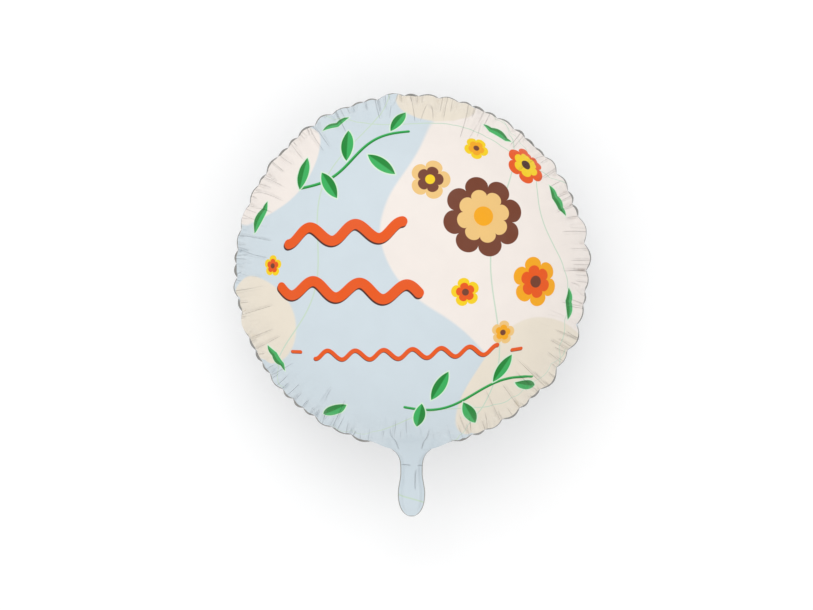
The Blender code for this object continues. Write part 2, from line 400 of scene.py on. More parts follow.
def root_edge(start, end):
    """The edges of the outline where the tail leaves it."""
    middle = (start + end) / 2
    inner_end = np.minimum(np.hypot(*start[:, :2].T), np.hypot(*end[:, :2].T))
    on_outline = inner_end > FLAT_RADIUS - WELD_WIDTH / WELD_RINGS / 2
    off_axis = np.abs(np.arctan2(middle[:, 0], -middle[:, 1]))
    return on_outline & (off_axis < ROOT_ANGLE)


# %% [markdown]
# ## Pulling out the tail
# Each extrude copies the last row of edges and moves the copy a little along -Y. When all rows
# are there, they are put in place together: a point's column tells its share of the width, and
# its row how far out it goes. Rows lie closer together in the flare and at the rounded end.

# %% Extrude the tail
ROW_STEP = 0.001
LAST_ROW_SHARE = 0.9985


def row_distance(row):
    """Distance of the tail's rows from the rim. The last stops just short of the very end."""
    return TAIL_LENGTH * (0.5 - 0.5 * np.cos(np.pi * row / TAIL_ROWS)) * LAST_ROW_SHARE


def extrude_tail(sheet):
    """Extrudes the outline at the tail's root down to the tail's end."""
    chosen = select_edges(sheet, root_edge)
    for _ in range(TAIL_ROWS):
        bpy.ops.mesh.extrude_edges_move(TRANSFORM_OT_translate={"value": (0, -ROW_STEP, 0)})
    bpy.ops.object.mode_set(mode="OBJECT")
    points = points_of(sheet.data)
    at_root = np.sqrt(np.maximum(FLAT_RADIUS**2 - points[:, 0] ** 2, 0.0))
    row = np.rint((-points[:, 1] - at_root) / ROW_STEP)
    on_tail = (points[:, 1] < 0) & (row > 0)
    distance = row_distance(row[on_tail])
    half_width = np.array([tail_half_width(d) for d in distance])
    points[on_tail, 0] *= half_width / (FLAT_RADIUS * math.sin(ROOT_ANGLE))
    points[on_tail, 1] = -(FLAT_RADIUS + distance)
    move_points(sheet.data, points)
    return chosen


def cut_sheet(name):
    """A flat round sheet with its tail."""
    sheet = start_sheet(name)
    spin_sheet()
    dissolved = select_edges(sheet, spare_radial)
    bpy.ops.mesh.dissolve_edges(use_verts=True, use_face_split=False)
    root = extrude_tail(sheet)
    print(name, len(sheet.data.polygons), "faces,", dissolved, "lines dissolved,", root, "at the root")
    return sheet


# %% [markdown]
# ## The pattern of creases
# Real film shows more creases than the lobes give. From each notch a narrow one runs in, some
# short and some a third of the way to the middle, and between them lie finer ones close to the
# weld. They are too fine for the solids. Each is a narrow dip in the film, placed by chance, and
# together they break up the light as on the real thing.

# %% Fine creases
# Half widths are in radians, and leans in radians to a metre.
CREASE_SEED = 4
NOTCH_CREASE_REACHES = (0.018, 0.025, 0.035, 0.050, 0.070)
NOTCH_CREASE_DEPTHS = (0.0006, 0.0018)
NOTCH_CREASE_HALF_WIDTH = 0.011
NOTCH_CREASE_START = -0.002
NOTCH_CREASE_LEAN = 0.9
SHORT_CREASES = 110
SHORT_CREASE_DEPTHS = (0.0002, 0.0007)
SHORT_CREASE_STARTS = (0.0, 0.015)
SHORT_CREASE_REACHES = (0.010, 0.040)
SHORT_CREASE_HALF_WIDTHS = (0.010, 0.016)
SHORT_CREASE_LEAN = 2.0
CREASE_WIDENING = 0.06
CREASE_ONSET = 0.008


def fine_creases(side):
    """Angle, half width, depth, start, length and lean of each fine crease of a sheet."""
    rng = random.Random(CREASE_SEED + side)
    creases = []
    for column in LOBES[:, 0]:
        where = column * COLUMN_ANGLE - math.pi / 2
        length = rng.choice(NOTCH_CREASE_REACHES)
        depth = rng.uniform(*NOTCH_CREASE_DEPTHS)
        lean = rng.uniform(-NOTCH_CREASE_LEAN, NOTCH_CREASE_LEAN)
        creases.append((where, NOTCH_CREASE_HALF_WIDTH, depth, NOTCH_CREASE_START, length, lean))
    for _ in range(SHORT_CREASES):
        where = rng.uniform(0, 2 * math.pi)
        depth = rng.uniform(*SHORT_CREASE_DEPTHS)
        start = rng.uniform(*SHORT_CREASE_STARTS)
        length = rng.uniform(*SHORT_CREASE_REACHES)
        half_width = rng.uniform(*SHORT_CREASE_HALF_WIDTHS)
        lean = rng.uniform(-SHORT_CREASE_LEAN, SHORT_CREASE_LEAN)
        creases.append((where, half_width, depth, start, length, lean))
    return creases


print(len(fine_creases(1)), "fine creases on each sheet")


def crease_relief(angle, distance, side):
    """How far the fine creases draw the film in, by angle round the disc and distance in."""
    relief = np.zeros_like(angle)
    for where, half_width, depth, start, length, lean in fine_creases(side):
        off = (angle - where - lean * distance + math.pi) % (2 * math.pi) - math.pi
        width = half_width * (1 + np.clip(distance, 0, None) / CREASE_WIDENING)
        across = np.exp(-((off / width) ** 2))
        inward = distance - start
        along = smooth(inward / CREASE_ONSET) * fade(inward - CREASE_ONSET, length)
        relief += depth * across * along
    return relief


# %% [markdown]
# ## Folds at the neck
# Where the round sheet gathers into the narrow neck it folds: one soft fold on each side runs
# from the disc into the neck, and a short one lies across the neck, where the valve inside ends.
# Each fold is a shallow groove along a line through a few points.

# %% Grooves at the neck
LEFT_FOLD_X = (-0.0265, -0.0245, -0.0230, -0.0200, -0.0125, -0.0075)
LEFT_FOLD_Y = (-0.138, -0.150, -0.165, -0.178, -0.188, -0.197)
RIGHT_FOLD_X = (0.0175, 0.0190, 0.0225, 0.0175, 0.0110, 0.0080)
RIGHT_FOLD_Y = (-0.145, -0.155, -0.168, -0.180, -0.190, -0.199)
FOLD_WIDTH = 0.0022
FOLD_DEPTH = 0.0020
FOLD_ONSET = 0.012
FOLD_END = 0.008
VALVE_Y = -0.1945
VALVE_WIDTH = 0.0013
VALVE_DEPTH = 0.0010
VALVE_BOW = 0.0006
VALVE_MIDDLE_SHARE = 0.35
VALVE_MIDDLE = 0.002
VALVE_BLEND = 0.006


def neck_grooves(x, y):
    """Depth of the folds at the neck, by place seen from the front."""
    depth = np.zeros_like(x)
    for path_x, path_y in ((LEFT_FOLD_X, LEFT_FOLD_Y), (RIGHT_FOLD_X, RIGHT_FOLD_Y)):
        line = np.interp(-y, [-v for v in path_y], path_x)
        ends = smooth((path_y[0] - y) / FOLD_ONSET) * smooth((y - path_y[-1]) / FOLD_END)
        depth += FOLD_DEPTH * np.exp(-(((x - line) / FOLD_WIDTH) ** 2)) * ends
    bowed = VALVE_Y - VALVE_BOW * np.cos(x / NECK_WIDTH * math.pi)
    beside = smooth((np.abs(x) - VALVE_MIDDLE) / VALVE_BLEND)
    share = VALVE_MIDDLE_SHARE + (1 - VALVE_MIDDLE_SHARE) * beside
    on_neck = np.abs(x) < NECK_WIDTH / 2
    return depth + VALVE_DEPTH * np.exp(-(((y - bowed) / VALVE_WIDTH) ** 2)) * share * on_neck


# %% [markdown]
# ## Inflating a sheet
# Each point of the flat sheet is carried to its place on the inflated balloon. Its distance from
# the weld gives its place on the curve, its angle gives its lobe, and near the tail the dome is
# blended into a funnel. The flat places are kept as the UV map first, so that the print shrinks
# towards the rim with the film, as it does on a real balloon.

# %% Carry the points of the disc
PUFF_HEIGHT = 0.0050
PUFF_RISE = 0.012
PUFF_REACH = 0.085
SEAM_REACH = 0.026
SLOPE_STEPS = 400


def slope(distance):
    """Unit direction, outwards and upwards, that the film faces."""
    step = WELD_LINE / SLOPE_STEPS
    start = np.clip(distance, 0.0, WELD_LINE - 2 * step)
    low_radius, low_height = on_profile(start)
    high_radius, high_height = on_profile(start + step)
    across, rise = low_radius - high_radius, high_height - low_height
    size = np.hypot(across, rise)
    return rise / size, across / size


def inflate_disc(points, side):
    """Inflated places of the points of the round part of a sheet."""
    flat_radius = np.hypot(points[:, 0], points[:, 1])
    angle = np.arctan2(points[:, 1], points[:, 0])
    column = np.round(((angle + math.pi / 2) % (2 * math.pi)) / (2 * math.pi) * COLUMNS, 4)
    distance = WELD_LINE - flat_radius
    radius, height = on_profile(distance)
    run, drop = weld_strip(column)
    on_strip = np.clip(-distance / WELD_WIDTH, 0.0, 1.0)
    radius += (WELD_WIDTH - run) * fade(distance, PULL_REACH) + run * on_strip
    level = drop * (0.5 * fade(distance, SEAM_REACH) - on_strip)
    shift, swing, puff = pucker(column)
    outward, upward = slope(distance)
    swell = PUFF_HEIGHT * puff * smooth(distance / PUFF_RISE) * fade(distance, PUFF_REACH)
    swell -= crease_relief(angle, distance, side) * (distance > 0)
    radius += shift * fade(distance, SEAM_REACH) + swell * outward
    height = height + swell * upward
    share = 1 - smooth((off_tail(column) - FUNNEL_CREST_SHARE) / (1 - FUNNEL_CREST_SHARE))
    share *= distance < FUNNEL_REACH
    funnel_radius, funnel_height = funnel(-distance - WELD_WIDTH)
    radius += (funnel_radius - radius) * share * smooth((FUNNEL_REACH - distance) / FUNNEL_REACH)
    height += (funnel_height - height) * share
    level += swing * fade(distance, SEAM_REACH)
    return np.column_stack((radius * np.cos(angle), radius * np.sin(angle), level + side * height))


# %% Carry the points of the tail
TAIL_DROP_REACH = 0.012


def tail_place(points):
    """Distance out, half width, share of the bend lost, and angle off the axis on the tail."""
    distance = -points[:, 1] - FLAT_RADIUS
    half_width = np.array([max(tail_half_width(d), NEAR) for d in distance])
    turn = np.arcsin(np.minimum(np.abs(points[:, 0]) / half_width, 1.0) * math.sin(ROOT_ANGLE))
    return distance, half_width, smooth(distance / NECK_DISTANCE), turn


def inflate_tail(points, side):
    """Places of the points of the tail: flat in its middle and welded at its edge."""
    distance, half_width, leaving, turn = tail_place(points)
    inside = half_width / np.maximum(half_width - TAIL_WELD_WIDTH * leaving, NEAR)
    share = np.minimum(turn / ROOT_ANGLE * inside, 1.0)
    flat_share = FUNNEL_CREST_SHARE + (TAIL_FLAT_SHARE - FUNNEL_CREST_SHARE) * leaving
    across = 1 - smooth((share - flat_share) / (1 - flat_share))
    end = smooth((TAIL_LENGTH - TAIL_WELD_WIDTH - distance) / TAIL_END_TAPER)
    funnel_radius, funnel_height = funnel(distance)
    ahead = (funnel_radius - RIM_RADIUS - distance) * across * (distance < NECK_DISTANCE)
    bend = RIM_RADIUS * (1 - np.cos(turn)) * (1 - leaving)
    out = RIM_RADIUS + distance - bend + ahead * np.cos(turn)
    aside = points[:, 0] * (1 + ahead / RIM_RADIUS)
    _, drop = weld_strip(turn / COLUMN_ANGLE)
    level = -0.5 * drop * fade(distance, TAIL_DROP_REACH)
    return np.column_stack((aside, -out, level + side * funnel_height * across * end))


# %% [markdown]
# ## Two sheets that meet
# Both sheets follow the same middle surface in the weld. To lie side by side there, whatever way
# the strip is bent, each is moved outwards along its own normals by the thickness of the film.
# The back is then pressed flat where it would go below the floor it lies on.

# %% Move the points
GROOVE_RISE = 0.004


def inflate(sheet, side):
    """Keeps the flat places as the UV map, then moves every point. side is 1 for the front."""
    mesh = sheet.data
    points = points_of(mesh)
    corners = np.empty(len(mesh.loops), dtype=np.int32)
    mesh.loops.foreach_get("vertex_index", corners)
    flat_radius = np.hypot(points[:, 0], points[:, 1])
    on_tail = (points[:, 1] < 0) & (flat_radius > FLAT_RADIUS + WELD_WIDTH / 100)
    printed = points.copy()
    _, _, leaving, turn = tail_place(points[on_tail])
    printed[on_tail, 1] += FLAT_RADIUS * (1 - np.cos(turn)) * (1 - leaving)
    uv = (printed[corners, :2] - (0.0, SHEET_MIDDLE_Y)) / SHEET_SPAN + 0.5
    mesh.uv_layers.new(name="flat sheet").data.foreach_set("uv", uv.ravel())
    placed = inflate_disc(points, side)
    placed[on_tail] = inflate_tail(points[on_tail], side)
    above = np.abs(placed[:, 2]) * (placed[:, 1] < 0)
    grooves = neck_grooves(placed[:, 0], placed[:, 1]) * smooth(above / GROOVE_RISE)
    placed[:, 2] -= side * grooves
    placed[:, 2] += SEAM_HEIGHT
    move_points(mesh, placed)
    middle = np.argmin(flat_radius)
    if mesh.vertices[middle].normal.z * side < 0:
        mesh.flip_normals()
        mesh.update()
    placed += points_of(mesh, "normal") * (FILM + FILM_GAP / 2)
    placed[:, 2] = np.maximum(placed[:, 2], 0.0)
    move_points(mesh, placed)
    sheet_edge(mesh, points, on_tail)


# %% [markdown]
# ## Marking the bare edge
# The print stops a little short of the cut edge, and the silver film shows beyond it. The
# material colours that strip a dark grey, which is painted shade for the weld strip turning away
# from the front. How near each point is to the edge is kept as an attribute that the material can
# read, because neither the shape nor the UV map tells it on the tail.

# %% An attribute for the bare edge
BARE_ON_DISC = 0.0042
BARE_ON_TAIL = 0.0011
BARE_FROM = 0.8
BARE_BLEND = 0.3


def sheet_edge(mesh, points, on_tail):
    """Keeps 1 at the cut edge, falling to 0 where the print starts."""
    flat_radius = np.hypot(points[:, 0], points[:, 1])
    distance = -points[:, 1] - FLAT_RADIUS
    half_width = np.array([tail_half_width(min(max(d, 0.0), TAIL_LENGTH)) for d in distance])
    from_side = np.minimum(half_width - np.abs(points[:, 0]), TAIL_LENGTH - distance)
    off_axis = np.abs(np.arctan2(points[:, 0], -points[:, 1])) / ROOT_ANGLE
    clear = smooth((off_axis - BARE_FROM) / BARE_BLEND)
    bare_and_shaded = (1 - (FLAT_RADIUS - flat_radius) / BARE_ON_DISC) * clear
    bare_and_shaded[on_tail] = 1 - from_side[on_tail] / BARE_ON_TAIL
    kept = mesh.attributes.new("bare edge", "FLOAT", "POINT")
    kept.data.foreach_set("value", np.clip(bare_and_shaded, 0.0, 1.0))


# %% [markdown]
# ## Giving the film a thickness
# The sheet is still a surface with no thickness. Solidify grows it inwards, towards the gas, so
# the outer face stays where it is. The real film is about 0.03 mm thick. It is drawn 0.3 mm
# thick here, so that the cut edge round the weld shows and the mesh is closed.

# %% Make both sheets
SMOOTH_DEGREES = 50


def finish_sheet(sheet):
    """A wall thickness, and smooth shading with a crisp cut edge."""
    pick(sheet)
    wall = sheet.modifiers.new("film", "SOLIDIFY")
    wall.thickness = FILM
    wall.offset = -1.0
    bpy.ops.object.modifier_apply(modifier=wall.name)
    bpy.ops.object.shade_smooth_by_angle(angle=math.radians(SMOOTH_DEGREES))
    sheet.data.calc_loop_triangles()
    print(sheet.name, len(sheet.data.loop_triangles), "triangles")


front = cut_sheet("printed_front")
inflate(front, 1)
finish_sheet(front)
back = cut_sheet("silver_back")
inflate(back, -1)
finish_sheet(back)

# %% [markdown]
# ## Inks and small node helpers
# The front of a foil balloon is printed before it is cut, with opaque inks on a white ground, so
# the film shows through nowhere and has a satin finish. Everything on it is drawn here by shader
# nodes, from the places and sizes of its motifs in metres on the flat sheet. A picture of a
# print would be quicker, but it can't be enlarged and would have to be stored beside the file.
# Each helper adds one node, or one small shape made of a few, and returns what comes out of it.

# %% Inks
INK_STRENGTH = 0.845


def ink(red, green, blue):
    """Linear colour of an ink from its screen values, by the curve that screens use."""
    scaled = [v / 255 for v in (red, green, blue)]
    linear = [v / 12.92 if v <= 0.04045 else ((v + 0.055) / 1.055) ** 2.4 for v in scaled]
    return tuple(v * INK_STRENGTH for v in linear) + (1.0,)


PALE_BLUE = ink(213, 225, 232)
CREAM = ink(248, 239, 232)
BEIGE = ink(240, 230, 213)
STEM_GREEN = ink(203, 224, 203)
LEAF_DARK = ink(0, 136, 44)
LEAF_LIGHT = ink(50, 180, 90)
LEAF_HALO = ink(222, 246, 222)
BROWN = ink(118, 60, 36)
DARK_BROWN = ink(72, 28, 14)
TAN = ink(245, 202, 128)
YELLOW_ORANGE = ink(251, 172, 0)
YELLOW = ink(252, 214, 0)
ORANGE = ink(238, 88, 0)
MOTTLE = ink(150, 150, 150)
# The cut edge: metal film, given a dark grey that is painted shade of the weld strip turning away.
EDGE_SILVER_AND_PAINTED_SHADE = (0.29, 0.285, 0.27, 1.0)
BACK_DARK = (0.62, 0.64, 0.66, 1.0)
BACK_LIGHT = (0.72, 0.74, 0.76, 1.0)

# %% Helpers that add nodes
PATCH_RANGE = (0.3, 0.7)


def feed(tree, socket, value):
    """Links a socket to another, or sets its own value."""
    if isinstance(value, bpy.types.NodeSocket):
        tree.links.new(value, socket)
    else:
        socket.default_value = value


def sums(tree, operation, first, second=0.0, third=0.0):
    """One step of arithmetic on numbers or sockets."""
    node = tree.nodes.new("ShaderNodeMath")
    node.operation = operation
    for socket, value in zip(node.inputs, (first, second, third)):
        feed(tree, socket, value)
    return node.outputs[0]


def vector_sum(tree, operation, where, other=(0, 0, 0)):
    """One step of arithmetic on a place."""
    node = tree.nodes.new("ShaderNodeVectorMath")
    node.operation = operation
    tree.links.new(where, node.inputs[0])
    node.inputs[1].default_value = other
    return node


def ramp(tree, value, low, high, at_low=0.0, at_high=1.0):
    """A soft step between two values."""
    node = tree.nodes.new("ShaderNodeMapRange")
    node.interpolation_type = "SMOOTHSTEP"
    for socket, given in zip(node.inputs, (value, low, high, at_low, at_high)):
        feed(tree, socket, given)
    return node.outputs[0]


def speckle(tree, where, scale, detail):
    """Noise from 0 to 1."""
    node = tree.nodes.new("ShaderNodeTexNoise")
    node.inputs["Scale"].default_value = scale
    node.inputs["Detail"].default_value = detail
    tree.links.new(where, node.inputs["Vector"])
    return node.outputs["Fac"]


def patches(tree, where, noise, low=0.0, high=1.0):
    """Soft patches with values from low to high. The noise is a scale and a detail."""
    return ramp(tree, speckle(tree, where, *noise), *PATCH_RANGE, low, high)


def painted(tree, under, colour, cover):
    """One colour over another where the cover is 1."""
    node = tree.nodes.new("ShaderNodeMix")
    node.data_type = "RGBA"
    feed(tree, node.inputs["Factor"], cover)
    feed(tree, node.inputs["A"], under)
    feed(tree, node.inputs["B"], colour)
    return node.outputs["Result"]


# %% [markdown]
# ## The shapes of the print
# A shape in a print is easiest to draw from how far each point is from its outline: inside, the
# number is negative. A narrow soft step then turns it into ink or no ink, a larger step gives
# the pale halo round a leaf, and a shifted copy the dark shadow under a stroke. A leaf is where
# two circles overlap, a blossom a circle whose radius swells and shrinks with the angle, and a
# stroke a band round a sine wave.

# %% Places, distances and ink
SOFT_EDGE = 0.0003


def at(tree, sheet, x, y, turn=0.0):
    """The sheet's coordinates centred and turned on a motif. x and y in mm, turn in degrees."""
    node = tree.nodes.new("ShaderNodeMapping")
    node.vector_type = "TEXTURE"
    tree.links.new(sheet, node.inputs["Vector"])
    node.inputs["Location"].default_value = (x / 1000, y / 1000, 0)
    node.inputs["Rotation"].default_value = (0, 0, math.radians(turn))
    return node.outputs[0]


def split(tree, where):
    """The x and y of a place."""
    node = tree.nodes.new("ShaderNodeSeparateXYZ")
    tree.links.new(where, node.inputs[0])
    return node.outputs[0], node.outputs[1]


def reach(tree, where, x=0.0, y=0.0):
    """Distance from a point."""
    return vector_sum(tree, "DISTANCE", where, (x, y, 0)).outputs["Value"]


def stamp(tree, under, colour, distance, grow=0.0, soft=SOFT_EDGE):
    """An ink over what is printed so far, inside an outline that is moved outwards by grow."""
    return painted(tree, under, colour, ramp(tree, distance, grow - soft, grow + soft, 1.0, 0.0))


# %% Leaf, blossom and stroke


def leaf_shape(tree, where, length, width):
    """Distance from the outline of a leaf that lies along x, where two circles overlap."""
    half_length, half_width = length / 2 / 1000, width / 2 / 1000
    radius = (half_length**2 + half_width**2) / (2 * half_width)
    off = radius - half_width
    farther = sums(tree, "MAXIMUM", reach(tree, where, 0, off), reach(tree, where, 0, -off))
    return sums(tree, "SUBTRACT", farther, radius)


def petal_shape(tree, where, petals, radius, depth):
    """Distance from the outline of a blossom with rounded petals."""
    x, y = split(tree, where)
    angle = sums(tree, "ARCTAN2", y, x)
    wave = sums(tree, "COSINE", sums(tree, "MULTIPLY", angle, petals / 2))
    swell = sums(tree, "SQRT", sums(tree, "ABSOLUTE", wave))
    outline = sums(tree, "MULTIPLY_ADD", swell, depth / 1000, (radius - depth) / 1000)
    return sums(tree, "SUBTRACT", reach(tree, where), outline)


def wave_shape(tree, where, half_length, height, wavelength, thickness, steps=2):
    """Distance from a wavy stroke with round ends that runs along x. Sizes in mm. The nearest
    place on the wave is found by starting beside the point and stepping towards it."""
    x, y = split(tree, where)
    end, high = half_length / 1000, height / 1000
    turns = 2 * math.pi / (wavelength / 1000)
    place = x
    for step in range(steps + 1):
        place = sums(tree, "MINIMUM", sums(tree, "MAXIMUM", place, -end), end)
        phase = sums(tree, "MULTIPLY", place, turns)
        off_x = sums(tree, "SUBTRACT", x, place)
        off_y = sums(tree, "MULTIPLY_ADD", sums(tree, "SINE", phase), -high, y)
        if step < steps:
            steep = sums(tree, "MULTIPLY", sums(tree, "COSINE", phase), high * turns)
            ahead = sums(tree, "MULTIPLY_ADD", steep, off_y, off_x)
            ahead = sums(tree, "DIVIDE", ahead, sums(tree, "MULTIPLY_ADD", steep, steep, 1.0))
            place = sums(tree, "ADD", place, ahead)
    square = sums(tree, "MULTIPLY_ADD", off_x, off_x, sums(tree, "MULTIPLY", off_y, off_y))
    return sums(tree, "SUBTRACT", sums(tree, "SQRT", square), thickness / 2 / 1000)


# %% [markdown]
# ## What is printed, and where
# Each motif is one row of numbers: its place on the flat sheet in mm from the middle, how it is
# turned, and its sizes. They are laid out like a bunch of flowers, large ones first.

# %% Places of the motifs
# ink, x, y, radius, wobble
BLOBS = (
    (CREAM, 128, 62, 148, 16),
    (CREAM, -176, 118, 74, 9),
    (BEIGE, 138, -140, 90, 11),
    (BEIGE, -172, -62, 52, 7),
    (BEIGE, 28, 196, 46, 7),
)
# x, y, turn, half length, height and length of a wave
STEMS = (
    (-92, 30, 72, 260, 13, 210),
    (82, -40, 84, 260, 11, 240),
    (6, 152, -14, 260, 10, 190),
    (-20, -168, 16, 260, 10, 170),
    (150, 20, 104, 260, 8, 150),
    (0, -281, -24, 40, 1.5, 60),
)
VINES = (
    (-58, 112, 28, 62, 8, 124),
    (62, -128, 10, 70, 9, 140),
)
# x, y, turn, length, width
LEAVES = (
    (-112, 100, 84, 37, 13),
    (-82, 84, -58, 33, 12),
    (-66, 128, 92, 38, 13),
    (-30, 104, -38, 35, 12),
    (-14, 156, 62, 32, 11),
    (8, -152, -98, 33, 12),
    (28, -116, 62, 35, 12),
    (62, -153, -62, 38, 13),
    (92, -100, 58, 34, 12),
    (126, -126, -22, 36, 12),
    (-164, 57, 62, 38, 13),
    (-148, -96, 128, 34, 12),
    (-84, -152, 34, 38, 13),
    (172, -37, 96, 36, 12),
    (160, 76, 122, 38, 13),
    (94, 150, -32, 36, 12),
    (-84, 162, 24, 33, 11),
)
# x, y, turn, petals, radius, depth of the petals, inks from the outside in
BLOSSOMS = (
    (70, 52, 12, 8, 40, 11, BROWN, TAN, YELLOW_ORANGE),
    (124, -12, 40, 6, 25, 8, YELLOW_ORANGE, ORANGE, BROWN),
    (18, 88, 0, 5, 20, 7, TAN, BROWN, YELLOW),
    (122, 112, 20, 6, 23, 7, ORANGE, YELLOW, DARK_BROWN),
    (52, -22, 30, 5, 14, 5, YELLOW, ORANGE, BROWN),
    (90, -62, 10, 5, 12, 4, TAN, YELLOW_ORANGE, BROWN),
    (66, 124, 50, 5, 13, 4, YELLOW, YELLOW_ORANGE, BROWN),
    (-142, 4, 15, 5, 11, 4, YELLOW, ORANGE, BROWN),
)
# x, y, turn, half length, height and length of a wave, thickness
STROKES = (
    (-66, 36, 3, 57.5, 7.5, 46, 10),
    (-62, -20, -2, 69, 7.5, 46, 10),
    (-6, -82, 2, 91, 4.5, 28, 4.2),
    (-118, -84, 2, 5, 0.4, 60, 3.6),
    (106, -80, 2, 5, 0.4, 60, 3.6),
)
print(len(LEAVES), "leaves,", len(BLOSSOMS), "blossoms,", len(STROKES), "strokes")

# %% [markdown]
# ## Printing the front
# The inks go on in the order of a printer: ground colours, thin stems, vines, leaves, blossoms
# and strokes. The sheet's UV map gives the place on the flat film, scaled back to metres.

# %% Ground and stems
BLOB_SOFTNESS = 0.0016
BLOB_NOISE = (9.0, 0.0)
BLOB_SWING = 4
STEM_THICKNESS = 1.3
STEM_SOFTNESS = 0.0004
STEM_STEPS = 1


def flat_sheet(tree):
    """Places on the flat sheet in metres."""
    uv = tree.nodes.new("ShaderNodeUVMap")
    uv.uv_map = "flat sheet"
    node = tree.nodes.new("ShaderNodeMapping")
    tree.links.new(uv.outputs[0], node.inputs["Vector"])
    node.inputs["Location"].default_value = (-SHEET_SPAN / 2, SHEET_MIDDLE_Y - SHEET_SPAN / 2, 0)
    node.inputs["Scale"].default_value = (SHEET_SPAN, SHEET_SPAN, 1)
    return node.outputs[0]


def print_ground(tree, sheet):
    """Pale blue with soft-edged patches of cream and beige, and thin stems."""
    inks = PALE_BLUE
    for colour, x, y, radius, wobble in BLOBS:
        where = at(tree, sheet, x, y)
        swing = wobble * BLOB_SWING / 1000
        uneven = sums(tree, "MULTIPLY_ADD", speckle(tree, where, *BLOB_NOISE), swing, -swing / 2)
        edge = sums(tree, "ADD", sums(tree, "SUBTRACT", reach(tree, where), radius / 1000), uneven)
        inks = stamp(tree, inks, colour, edge, 0.0, BLOB_SOFTNESS)
    for x, y, turn, *sizes in STEMS:
        where = at(tree, sheet, x, y, turn)
        shape = wave_shape(tree, where, *sizes, STEM_THICKNESS, STEM_STEPS)
        inks = stamp(tree, inks, STEM_GREEN, shape, 0.0, STEM_SOFTNESS)
    return inks


# %% Vines and leaves
VINE_THICKNESS = 3.2
VINE_SHADE_THICKNESS = 1.6
VINE_SHADE_SHIFT = -0.8
RIB_SOFTNESS = 0.0007
HALO_WIDTH = 0.0012
HALO_SOFTNESS = 0.0006


def print_greens(tree, sheet, inks):
    """Vines, then two-tone leaves with a pale halo."""
    for x, y, turn, *sizes in VINES:
        where = at(tree, sheet, x, y, turn)
        inks = stamp(tree, inks, LEAF_LIGHT, wave_shape(tree, where, *sizes, VINE_THICKNESS))
        lower = at(tree, where, 0.0, VINE_SHADE_SHIFT)
        inks = stamp(tree, inks, LEAF_DARK, wave_shape(tree, lower, *sizes, VINE_SHADE_THICKNESS))
    for x, y, turn, length, width in LEAVES:
        where = at(tree, sheet, x, y, turn)
        shape = leaf_shape(tree, where, length, width)
        half = ramp(tree, split(tree, where)[1], -RIB_SOFTNESS, RIB_SOFTNESS)
        inks = stamp(tree, inks, LEAF_HALO, shape, HALO_WIDTH, HALO_SOFTNESS)
        inks = stamp(tree, inks, painted(tree, LEAF_LIGHT, LEAF_DARK, half), shape)
    return inks


# %% Blossoms and strokes
INNER_RADIUS_SHARE = 0.66
INNER_DEPTH_SHARE = 0.6
MIDDLE_SHARE = 0.24
SHADOW_SHIFT = (-0.9, -1.7)
SHADOW_THICKNESS = 10.5


def print_blossoms(tree, sheet, inks):
    """Blossoms with two rings of petals and a round middle."""
    for x, y, turn, petals, radius, depth, outer, inner, middle in BLOSSOMS:
        where = at(tree, sheet, x, y, turn)
        inks = stamp(tree, inks, outer, petal_shape(tree, where, petals, radius, depth))
        inner_sizes = radius * INNER_RADIUS_SHARE, depth * INNER_DEPTH_SHARE
        inks = stamp(tree, inks, inner, petal_shape(tree, where, petals, *inner_sizes))
        disc = sums(tree, "SUBTRACT", reach(tree, where), radius * MIDDLE_SHARE / 1000)
        inks = stamp(tree, inks, middle, disc)
    return inks


def print_strokes(tree, sheet, inks):
    """Orange wavy strokes on a dark shadow, which is nearer to a thin stroke than to a bold one."""
    for x, y, turn, *sizes in STROKES:
        shift = sizes[-1] / SHADOW_THICKNESS
        beside = at(tree, sheet, x + SHADOW_SHIFT[0] * shift, y + SHADOW_SHIFT[1] * shift, turn)
        inks = stamp(tree, inks, DARK_BROWN, wave_shape(tree, beside, *sizes))
        inks = stamp(tree, inks, ORANGE, wave_shape(tree, at(tree, sheet, x, y, turn), *sizes))
    return inks


# %% [markdown]
# ## Wrinkles too fine for the mesh
# Close to the weld the film is full of hair-fine wrinkles that run in towards the middle. Noise
# makes them, as a bump. It is read by direction from the middle, many times finer than by
# distance, which draws it out into rays. A crease is laid along the lines where such a noise
# crosses its middle value. In soft light only steep slopes show, so a crease is steep on one side.

# %% Helpers for creases
STEEP_SIDE = 0.25


def along_rays(tree, direction, radius, pace):
    """Coordinates that change fast round the sheet and, by the pace, slowly across it."""
    x, y = split(tree, direction)
    rays = tree.nodes.new("ShaderNodeCombineXYZ")
    for socket, value in zip(rays.inputs, (x, y, sums(tree, "MULTIPLY", radius, pace))):
        feed(tree, socket, value)
    return rays.outputs[0]


def crease(tree, off_line, width):
    """1 on a line, falling steeply to one side of it and gently to the other."""
    steep = ramp(tree, off_line, -width * STEEP_SIDE, 0.0)
    return sums(tree, "MULTIPLY", steep, ramp(tree, off_line, 0.0, width, 1.0, 0.0))


# %% [markdown]
# ## Folds drawn one by one
# A few creases stand out too much to be left to chance: two that run into the neck, the line
# across it where the valve ends, and one down the tail.

# %% Folds at the neck and on the tail
# x, y, turn, half length, bow, width, in mm and degrees
NECK_FOLDS = (
    (-21, -202, 98, 34, 2.0, 1.6),
    (17.5, -203, 83, 32, -2.0, 1.6),
    (-5.5, -247.2, -3, 5, 0.3, 0.9),
    (8.5, -247.9, 4, 2.6, 0.2, 0.9),
    (4, -262, 88, 11, 0.6, 1.3),
)
FOLD_FADE = (0.3, 1.0)


def neck_fold(tree, sheet, x, y, turn, half_length, bow, width):
    """A bowed crease with soft ends. Sizes in mm."""
    along, off = split(tree, at(tree, sheet, x, y, turn))
    share = sums(tree, "DIVIDE", along, half_length / 1000)
    square = sums(tree, "MULTIPLY", share, share)
    line = crease(tree, sums(tree, "MULTIPLY_ADD", square, bow / 1000, off), width / 1000)
    return sums(tree, "MULTIPLY", line, ramp(tree, square, *FOLD_FADE, 1.0, 0.0))


